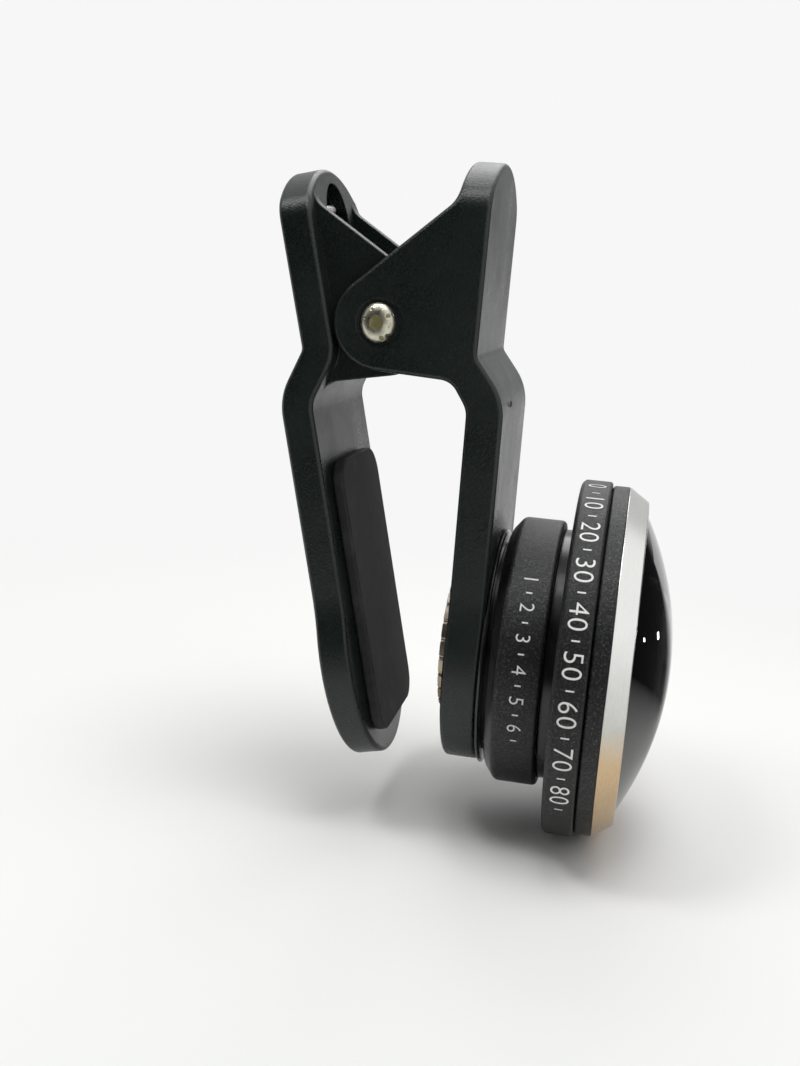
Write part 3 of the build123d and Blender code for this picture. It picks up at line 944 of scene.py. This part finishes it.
@dataclass
class SprungClip:
    """Both arms, their rivet, spring, pad and the collar."""

    palette: Palette
    edge: float = 0.15
    pad_edge: float = 0.3
    pad_sharp: float = 50.0
    head_radius: float = 1.95
    peened_width: float = 0.88
    peened_shift: float = -0.18
    head_top: float = 11.7
    head_seat: float = 10.75
    shank_radius: float = 1.4
    mark_y: float = -4.6
    mark_z: float = 26.3
    face_x: float = 4.7
    hole_radius: float = 7.55
    hole_start: float = 1.15
    hole_end: float = 4.65
    thread_depth: float = 0.35
    thread_start: float = 1.45
    thread_length: float = 2.9

    def arm(self, node: str, body: Body) -> bpy.types.Object:
        """Dress one arm.

        Args:
            node: Name of the arm's node.
            body: Body that it rides on.

        Returns:
            The arm.
        """
        mesh = softened_copy(node, f"{node}_moulding", self.edge)
        return even_shading(fit(new_object(f"{node}_moulding", mesh, self.palette.arm), body, Slot.ARM, node))

    def thread(self) -> bpy.types.Object:
        """Cut the thread in the lens arm's hole."""
        outer, inner = self.hole_radius + 0.02, self.hole_radius + 0.005
        bore = HalfSection().to(self.hole_start, outer).to(self.hole_end, outer)
        mesh = bore.to(self.hole_end, inner).to(self.hole_start, inner).spin("arm_thread", 144)
        ridge = ThreadRidge(self.hole_radius, -self.thread_depth, self.thread_start, self.thread_length, phase=0.5)
        ridge.add_to(mesh)
        return fit(new_object("arm_thread", mesh, self.palette.arm), Body.CLIP, Slot.ARM)

    def rivet(self) -> bpy.types.Object:
        """Turn the rivet: a shank with a peened head at each end, dished in the middle and a little oval."""
        section = HalfSection()
        top, seat, rim = self.head_top, self.head_seat, self.head_radius
        section.to(-top + 0.1, 0.0).to(-top + 0.07, 0.5).to(-top, 0.72, 0.1).to(-top + 0.16, 1.35, 0.3)
        section.to(-top + 0.5, 1.8, 0.25).to(-seat - 0.12, rim, 0.08).to(-seat, rim - 0.05)
        section.to(-seat, self.shank_radius).to(seat, self.shank_radius)
        section.to(seat, rim - 0.05).to(seat + 0.12, rim, 0.08).to(top - 0.5, 1.8, 0.25)
        section.to(top - 0.16, 1.35, 0.3).to(top, 0.72, 0.1).to(top - 0.07, 0.5).to(top - 0.1, 0.0)
        pin = Vector((PIN_X, 0, PIN_Z)) * MM
        mesh = section.spin("peened_rivet", 96, Matrix.Translation(pin) @ Matrix.Rotation(math.pi / 2, 4, "Z"))
        bm = bmesh.new()
        bm.from_mesh(mesh)
        heads = [
            vert for vert in bm.verts
            if abs(vert.co.y) > (seat + 0.01) * MM or math.dist(vert.co.xz, pin.xz) > (self.shank_radius + 0.01) * MM
        ]
        bmesh.ops.scale(bm, vec=(self.peened_width, 1, 1), verts=heads, space=Matrix.Translation(-pin))
        bmesh.ops.translate(bm, vec=(self.peened_shift * MM, 0, 0), verts=heads)
        bm.to_mesh(mesh)
        bm.free()
        return fit(new_object("peened_rivet", mesh, self.palette.rivet), Body.CLIP, Slot.RIVET, "pivot_rivet")

    def pad(self) -> bpy.types.Object:
        """Mould the rubber pad with rounded edges."""
        mesh = softened_copy("jaw_pad", "rubber_pad", self.pad_edge, self.pad_sharp)
        return even_shading(fit(new_object("rubber_pad", mesh, self.palette.pad), Body.GRIP_ARM, Slot.PAD, "jaw_pad"))

    def mark(self) -> bpy.types.Object:
        """Raise the small ring that the moulding pin leaves on the lens arm."""
        face = self.face_x
        section = HalfSection().to(face - 0.05, 0.0).to(face - 0.05, 0.34).to(face + 0.06, 0.28, 0.03)
        section.to(face + 0.06, 0.18, 0.03).to(face + 0.01, 0.12).to(face + 0.01, 0.0)
        place = Matrix.Translation(Vector((0, self.mark_y, self.mark_z)) * MM)
        piece = new_object("pin_mark", section.spin("pin_mark", 32, place), self.palette.inside)
        return fit(piece, Body.CLIP, Slot.ARM)

    def collar(self) -> bpy.types.Object:
        """Turn the glossy collar between the arm and the macro barrel."""
        section = HalfSection().to(4.7, 7.55).to(4.7, 12.3, 0.08).to(4.87, 12.5, 0.1)
        section.to(4.98, 12.5, 0.1).to(5.15, 12.3, 0.08).to(5.15, 7.55)
        piece = new_object("gloss_collar", section.spin("gloss_collar"), self.palette.collar)
        return even_shading(fit(piece, Body.CLIP, Slot.COLLAR, "mount_collar"))

    def build(self) -> list[bpy.types.Object]:
        """Build the clip's pieces."""
        return [
            self.arm("lens_arm", Body.CLIP), self.arm("pad_arm", Body.GRIP_ARM), self.thread(), self.rivet(),
            self.pad(), self.mark(), self.collar(), *TorsionSpring().build(self.palette.wire),
        ]


# The two lens units


@dataclass
class PrintedScale:
    """Figures and marks printed round a barrel, read from the top down on the near side."""

    name: str
    radius: float
    middle_x: float
    height: float
    first_angle: float
    step_angle: float
    figures: tuple[str, ...]
    mark_height: float
    mark_width: float = 0.16
    marks_between: int = 1
    strip_width: float = 0.3
    stroke: float = -0.008
    letter_space: float = 1.08

    def stamp(self, text: str) -> bpy.types.Mesh:
        """Make a string of figures as a flat mesh in metres, centred and of the scale's height.

        Args:
            text: The figures.

        Returns:
            The mesh.
        """
        curve = bpy.data.curves.new("figures", "FONT")
        curve.body = text
        curve.size = 1.0
        curve.resolution_u = 5
        curve.offset = self.stroke
        curve.space_character = self.letter_space
        holder = bpy.data.objects.new("figures", curve)
        bpy.context.scene.collection.objects.link(holder)
        mesh = bpy.data.meshes.new_from_object(holder)
        bpy.data.objects.remove(holder)
        bpy.data.curves.remove(curve)
        low = Vector(min(vert.co[i] for vert in mesh.vertices) for i in range(3))
        high = Vector(max(vert.co[i] for vert in mesh.vertices) for i in range(3))
        size = self.height * MM / (high.y - low.y)
        mesh.transform(Matrix.Scale(size, 4) @ Matrix.Translation(-(low + high) / 2))
        return mesh

    def mark(self) -> bpy.types.Mesh:
        """Make one mark as a flat mesh in metres."""
        bm = bmesh.new()
        bmesh.ops.create_grid(bm, x_segments=1, y_segments=1, size=0.5)
        bmesh.ops.scale(bm, vec=(self.mark_width * MM, self.mark_height * MM, 1), verts=bm.verts[:])
        return flat_mesh(bm, "mark")

    def wrap(self, bm: bmesh.types.BMesh, flat: bpy.types.Mesh, angle: float) -> None:
        """Cut a flat mesh into strips, bend it round the barrel and add it to the print.

        Args:
            bm: The print so far.
            flat: Flat mesh with x the way it reads and y its height; it is used up.
            angle: Place round the barrel in degrees, from the near side downwards.
        """
        strip = bmesh.new()
        strip.from_mesh(flat)
        reach = max(abs(vert.co.x) for vert in strip.verts)
        cuts = int(reach / (self.strip_width * MM))
        for cut in range(-cuts, cuts + 1):
            bmesh.ops.bisect_plane(
                strip, geom=strip.verts[:] + strip.edges[:] + strip.faces[:],
                plane_co=(cut * self.strip_width * MM, 0, 0), plane_no=(1, 0, 0),
            )
        bmesh.ops.recalc_face_normals(strip, faces=strip.faces[:])
        if sum(face.normal.z for face in strip.faces) < 0:
            bmesh.ops.reverse_faces(strip, faces=strip.faces[:])
        out = self.radius * MM
        for vert in strip.verts:
            turn = math.radians(angle) + vert.co.x / out
            vert.co = (self.middle_x * MM + vert.co.y, -out * math.cos(turn), -out * math.sin(turn))
        strip.to_mesh(flat)
        strip.free()
        bm.from_mesh(flat)
        bpy.data.meshes.remove(flat)

    def build(self, material: bpy.types.Material, body: Body) -> bpy.types.Object:
        """Build the print.

        Args:
            material: The ink.
            body: Body that it rides on.

        Returns:
            The print.
        """
        bm = bmesh.new()
        for number, text in enumerate(self.figures):
            angle = self.first_angle + number * self.step_angle
            self.wrap(bm, self.stamp(text), angle)
            for mark in range(1, self.marks_between + 1):
                self.wrap(bm, self.mark(), angle + self.step_angle * mark / (self.marks_between + 1))
        return fit(new_object(self.name, flat_mesh(bm, self.name), material), body, None)


@dataclass
class MacroUnit:
    """Macro barrel with its threads, and its printed scale."""

    palette: Palette
    skin: float = 0.02
    ridge: float = 0.4
    radius: float = 14.1
    stub_radius: float = 7.5
    socket_radius: float = 11.6

    def barrel(self) -> bpy.types.Object:
        """Turn the barrel with rounded edges, a grooved neck and a threaded stub and socket."""
        radius, stub, socket = self.radius - self.skin, self.stub_radius, self.socket_radius
        section = HalfSection().to(0.8, 5.85).to(0.8, stub, 0.05).to(1.12, stub, 0.04).to(1.3, stub - self.ridge)
        section.to(4.62, stub - self.ridge).to(4.72, stub, 0.03).to(5.15, stub)
        section.to(5.15, 11.1, 0.04).to(5.6, 11.1, 0.12).to(5.6, 12.6, 0.4).to(6.75, radius, 0.35)
        section.to(10.8, radius, 0.14).to(11.05, 13.85, 0.1).to(11.05, socket + 0.15, 0.04).to(10.9, socket)
        section.to(7.9, socket, 0.06).to(7.9, 10.6, 0.2).to(6.6, 7.6, 0.3).to(5.2, 5.4, 0.2).to(4.8, 5.1)
        mesh = section.to(4.2, 5.1).to(4.2, 5.85).spin("macro_body")
        ThreadRidge(stub - self.ridge, self.ridge, 1.45, 2.9).add_to(mesh)
        ThreadRidge(socket, -0.35, 8.3, 2.5, phase=0.5).add_to(mesh)
        piece = new_object("macro_body", mesh, self.palette.barrel, self.palette.shoulder)
        paint_band(mesh, 4.9, 6.6, 10.9, self.radius)
        return even_shading(fit(piece, Body.MACRO_UNIT, Slot.BARREL, "macro_barrel"))

    def scale(self) -> bpy.types.Object:
        """Print the scale of the macro unit."""
        figures = PrintedScale(
            "macro_figures", self.radius, 8.85, 1.4, -45.0, 12.5, ("1", "2", "3", "4", "5", "6"), 0.6,
        )
        return figures.build(self.palette.ink, Body.MACRO_UNIT)

    def build(self) -> list[bpy.types.Object]:
        """Build the unit's pieces."""
        return [self.barrel(), self.scale()]


@dataclass
class FisheyeUnit:
    """Fisheye barrel, front barrel and bright trim ring, and the printed scale."""

    palette: Palette
    skin: float = 0.02
    ridge: float = 0.4
    shell_radius: float = 18.7
    neck_radius: float = 11.55

    def barrel(self) -> bpy.types.Object:
        """Turn the barrel: threaded neck, glossy step, printed band and lens seats."""
        shell, neck = self.shell_radius - self.skin, self.neck_radius
        section = HalfSection().to(8.15, 7.55).to(8.15, neck - 0.15, 0.05).to(8.3, neck - self.ridge)
        section.to(10.8, neck - self.ridge).to(10.9, neck - 0.1).to(11.05, neck - 0.1, 0.05).to(11.05, 13.2, 0.12)
        section.to(12.3, 13.2, 0.15).to(12.3, 18.3, 0.12).to(12.7, shell, 0.14)
        section.to(15.3, shell, 0.1).to(15.46, 18.5, 0.05).to(15.46, 17.75).to(13.5, 17.75, 0.05)
        section.to(13.5, 9.55, 0.1).to(11.9, 9.55).to(11.9, 6.2).to(11.3, 6.2)
        mesh = section.to(11.3, 7.55).spin("fisheye_body")
        ThreadRidge(neck - self.ridge, self.ridge, 8.45, 2.2).add_to(mesh)
        piece = new_object("fisheye_body", mesh, self.palette.barrel, self.palette.shoulder)
        paint_band(mesh, 11.0, 12.31, 0.0, 13.3)
        return even_shading(fit(piece, Body.FISHEYE_UNIT, Slot.BARREL, "fisheye_barrel"))

    def front(self) -> bpy.types.Object:
        """Turn the front barrel, which leaves a fine seam behind its band."""
        section = HalfSection().to(13.6, 15.5, 0.1).to(13.6, 17.7, 0.1).to(15.54, 17.7).to(15.54, 18.1, 0.06)
        section.to(15.74, 18.33, 0.1).to(17.22, 18.33, 0.05).to(17.26, 18.2).to(17.26, 17.75)
        section.to(15.9, 17.75).to(15.9, 16.65).to(14.8, 16.65)
        mesh = section.to(14.8, 15.5, 0.1).spin("front_band")
        piece = new_object("front_band", mesh, self.palette.barrel)
        return even_shading(fit(piece, Body.FISHEYE_UNIT, Slot.RING, "front_barrel"))

    def trim(self) -> bpy.types.Object:
        """Turn the bright cone in front of the band."""
        section = HalfSection().to(15.9, 16.65).to(15.9, 17.7).to(17.26, 17.7).to(17.26, 18.25, 0.02)
        section.to(17.32, 18.33, 0.05).to(19.33, 16.97, 0.08).to(19.4, 16.8, 0.05).to(19.4, 16.3, 0.08)
        mesh = section.to(19.2, 16.2, 0.05).to(19.064, 16.2).to(19.064, 16.65).spin("trim_cone", 256)
        piece = new_object("trim_cone", mesh, self.palette.trim)
        return even_shading(fit(piece, Body.FISHEYE_UNIT, Slot.TRIM, "trim_ring"))

    def scale(self) -> bpy.types.Object:
        """Print the scale of the fisheye unit."""
        figures = PrintedScale(
            "fisheye_figures", self.shell_radius, 14.0, 1.85, -84.0, 14.2,
            ("0", "10", "20", "30", "40", "50", "60", "70", "80"), 0.8,
        )
        return figures.build(self.palette.ink, Body.FISHEYE_UNIT)

    def build(self) -> list[bpy.types.Object]:
        """Build the unit's pieces."""
        return [self.barrel(), self.front(), self.trim(), self.scale()]


# The studio


@dataclass(frozen=True)
class Lamp:
    """A square soft lamp: its place and side in millimetres, and its power in watts."""

    name: str
    place: tuple[float, float, float]
    size: float
    power: float


@dataclass
class Studio:
    """Pale floor, soft light and the camera."""

    floor_z: float = -18.7
    height: int = 1066
    focal_pixels: float = 1250.5
    place: tuple[float, float, float] = (17.763, -129.362, 37.594)
    forward: tuple[float, float, float] = (-0.17983, 0.96354, -0.19813)
    up: tuple[float, float, float] = (-0.11250, 0.17995, 0.97722)
    sensor: float = 36.0
    aim: tuple[float, float, float] = (3, 0, 12)
    pale: Colour = (0.93, 0.93, 0.93)
    floor_colour: Colour = (0.82, 0.82, 0.81)
    dark: Colour = (0.03, 0.03, 0.03)
    dim_side: tuple[float, float, float] = (-0.14, -0.97, -0.20)
    bright_side: tuple[float, float, float] = (0.80, -0.12, 0.55)
    flag_side: tuple[float, float, float] = (0.72, 0.68, -0.02)
    lamps: tuple[Lamp, ...] = (
        Lamp("key", (30, -40, 280), 130, 0.32),
        Lamp("left", (-120, -60, 260), 70, 0.20),
        Lamp("back", (-20, 230, 230), 170, 0.24),
        Lamp("window", (82, 70, -9), 2.5, 0.0012),
        Lamp("far_window", (97, 50, -4), 1.6, 0.0006),
    )

    def camera(self) -> None:
        """Place the camera where the photograph was taken from."""
        data = bpy.data.cameras.new("view")
        data.sensor_fit = "VERTICAL"
        data.sensor_height = self.sensor
        data.lens = self.focal_pixels * self.sensor / self.height
        data.clip_start = 0.001
        data.clip_end = 10.0
        camera = bpy.data.objects.new("view", data)
        bpy.context.scene.collection.objects.link(camera)
        forward = Vector(self.forward).normalized()
        right = forward.cross(Vector(self.up)).normalized()
        up = right.cross(forward)
        turn = Matrix((right, up, -forward)).transposed().to_4x4()
        camera.matrix_world = Matrix.Translation(Vector(self.place) * MM) @ turn
        bpy.context.scene.camera = camera

    def light(self, lamp: Lamp) -> None:
        """Add a lamp that points at the part.

        Args:
            lamp: The lamp.
        """
        data = bpy.data.lights.new(lamp.name, "AREA")
        data.size = lamp.size * MM
        data.energy = lamp.power
        light = bpy.data.objects.new(lamp.name, data)
        bpy.context.scene.collection.objects.link(light)
        light.location = Vector(lamp.place) * MM
        aim = Vector(self.aim) * MM - light.location
        light.rotation_euler = aim.to_track_quat("-Z", "Y").to_euler()
        light.visible_camera = False

    def seen_rays(self, tree: bpy.types.NodeTree) -> bpy.types.NodeSocket:
        """Find the rays that see the backdrop: from the camera, a gloss or glass.

        Args:
            tree: Node tree that takes the nodes.

        Returns:
            1 for such a ray and 0 for others.
        """
        path = tree.nodes.new("ShaderNodeLightPath").outputs
        glossy = self.joined(tree, "MAXIMUM", path["Is Camera Ray"], path["Is Glossy Ray"])
        return self.joined(tree, "MAXIMUM", glossy, path["Is Transmission Ray"])

    def floor(self) -> None:
        """Lay a floor that keeps the part's shadow, fades into the backdrop and has two dark flags for glosses."""
        bm = bmesh.new()
        bmesh.ops.create_grid(bm, x_segments=1, y_segments=1, size=3.0)
        bmesh.ops.translate(bm, vec=(0, 0, self.floor_z * MM), verts=bm.verts[:])
        graph = NodeGraph("pale_floor")
        tree = graph.tree
        graph.set(Base_Color=self.floor_colour, Roughness=0.9)
        x, y, _ = graph.parts()
        reach = graph.math("SQRT", graph.math("ADD", graph.math("MULTIPLY", x, x), graph.math("MULTIPLY", y, y)))
        glow = tree.nodes.new("ShaderNodeEmission")
        glow.inputs["Color"].default_value = (*self.pale, 1)
        mix = tree.nodes.new("ShaderNodeMixShader")
        fade = graph.math("MULTIPLY", graph.span(reach, 0.05, 0.16, 0.0, 1.0), self.seen_rays(tree))
        tree.links.new(fade, mix.inputs[0])
        tree.links.new(graph.shader.outputs["BSDF"], mix.inputs[1])
        tree.links.new(glow.outputs[0], mix.inputs[2])
        flag = tree.nodes.new("ShaderNodeEmission")
        flag.inputs["Color"].default_value = (*self.dark, 1)
        sector = graph.math("SUBTRACT", graph.math("MULTIPLY", x, 1.9), y)
        beside = graph.math("MULTIPLY", graph.span(sector, 0.0, 0.04, 0.0, 1.0), graph.span(y, 0.0, 0.04, 0.0, 1.0))
        ahead = graph.math("MULTIPLY", graph.span(y, -0.10, -0.05, 1.0, 0.0), graph.span(x, 0.0, 0.05, 1.0, 0.0))
        flagged = graph.math("MAXIMUM", beside, ahead)
        path = tree.nodes.new("ShaderNodeLightPath")
        shade = tree.nodes.new("ShaderNodeMixShader")
        tree.links.new(graph.math("MULTIPLY", flagged, path.outputs["Is Glossy Ray"]), shade.inputs[0])
        tree.links.new(mix.outputs[0], shade.inputs[1])
        tree.links.new(flag.outputs[0], shade.inputs[2])
        output = next(node for node in tree.nodes if node.type == "OUTPUT_MATERIAL")
        tree.links.new(shade.outputs[0], output.inputs["Surface"])
        new_object("floor", flat_mesh(bm, "floor"), graph.material)

    def joined(
        self, tree: bpy.types.NodeTree, operation: str, first: bpy.types.NodeSocket, second: bpy.types.NodeSocket
    ) -> bpy.types.NodeSocket:
        """Join two values with a Math node.

        Args:
            tree: Node tree that takes the node.
            operation: Name of the operation.
            first: First value.
            second: Second value.

        Returns:
            The result.
        """
        node = tree.nodes.new("ShaderNodeMath")
        node.operation = operation
        tree.links.new(first, node.inputs[0])
        tree.links.new(second, node.inputs[1])
        return node.outputs[0]

    def towards(
        self, tree: bpy.types.NodeTree, side: tuple[float, float, float], span: tuple[float, float, float, float]
    ) -> bpy.types.NodeSocket:
        """Map how near a direction of the sky is to a given one.

        Args:
            tree: Node tree that takes the nodes.
            side: The given direction.
            span: Two cosines, and the values at them.

        Returns:
            The value, with a smooth change between the two.
        """
        place = tree.nodes.new("ShaderNodeTexCoord")
        dot = tree.nodes.new("ShaderNodeVectorMath")
        dot.operation = "DOT_PRODUCT"
        dot.inputs[1].default_value = Vector(side).normalized()
        tree.links.new(place.outputs["Generated"], dot.inputs[0])
        level = tree.nodes.new("ShaderNodeMapRange")
        level.interpolation_type = "SMOOTHSTEP"
        for socket, value in zip(level.inputs[1:5], span):
            socket.default_value = value
        tree.links.new(dot.outputs["Value"], level.inputs[0])
        return level.outputs[0]

    def world(self) -> None:
        """Light the part softly before a pale backdrop, dim on the camera's side and beyond the dome."""
        world = bpy.data.worlds.new("studio")
        world.use_nodes = True
        tree = world.node_tree
        sky = tree.nodes["Background"]
        level = self.towards(tree, self.dim_side, (0.10, 0.65, 0.55, 0.015))
        level = self.joined(tree, "MAXIMUM", level, self.towards(tree, self.bright_side, (0.45, 0.85, 0.0, 0.95)))
        level = self.joined(tree, "MULTIPLY", level, self.towards(tree, self.flag_side, (0.90, 0.96, 1.0, 0.05)))
        path = tree.nodes.new("ShaderNodeLightPath")
        mix = tree.nodes.new("ShaderNodeMix")
        tree.links.new(path.outputs["Is Camera Ray"], mix.inputs["Factor"])
        tree.links.new(level, mix.inputs["A"])
        mix.inputs["B"].default_value = self.pale[0]
        tree.links.new(mix.outputs["Result"], sky.inputs["Strength"])
        sky.inputs["Color"].default_value = (1, 1, 1, 1)
        bpy.context.scene.world = world

    def build(self) -> None:
        """Build the studio."""
        bpy.context.scene.view_settings.view_transform = "Standard"
        self.floor()
        self.world()
        self.camera()
        for lamp in self.lamps:
            self.light(lamp)


def dress(nodes: Iterable[tuple[str, bpy.types.Material]]) -> None:
    """Give nodes that stay as they are their finish.

    Args:
        nodes: Node names with their materials.
    """
    for node, material in nodes:
        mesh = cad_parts[node].data
        mesh.materials.clear()
        mesh.materials.append(material)
        LOG.info("dressed %s", node)


def main() -> None:
    """Build the scene."""
    logging.basicConfig(level=logging.INFO, format="%(name)s: %(message)s")
    palette = Palette()
    for unit in (SprungClip(palette), MacroUnit(palette), FisheyeUnit(palette)):
        for piece in unit.build():
            LOG.info("built %s with %d faces", piece.name, len(piece.data.polygons))
    dress([
        ("macro_lens", palette.glass), ("macro_spacer", palette.inside), ("macro_retainer", palette.nickel),
        ("front_lens", palette.front_glass), ("front_seal", palette.seal), ("light_baffle", palette.inside),
        ("second_lens", palette.glass), ("aperture_stop", palette.inside), ("rear_lens", palette.glass),
        ("rear_retainer", palette.inside),
    ])
    Studio().build()


if __name__ == "__main__":
    main()
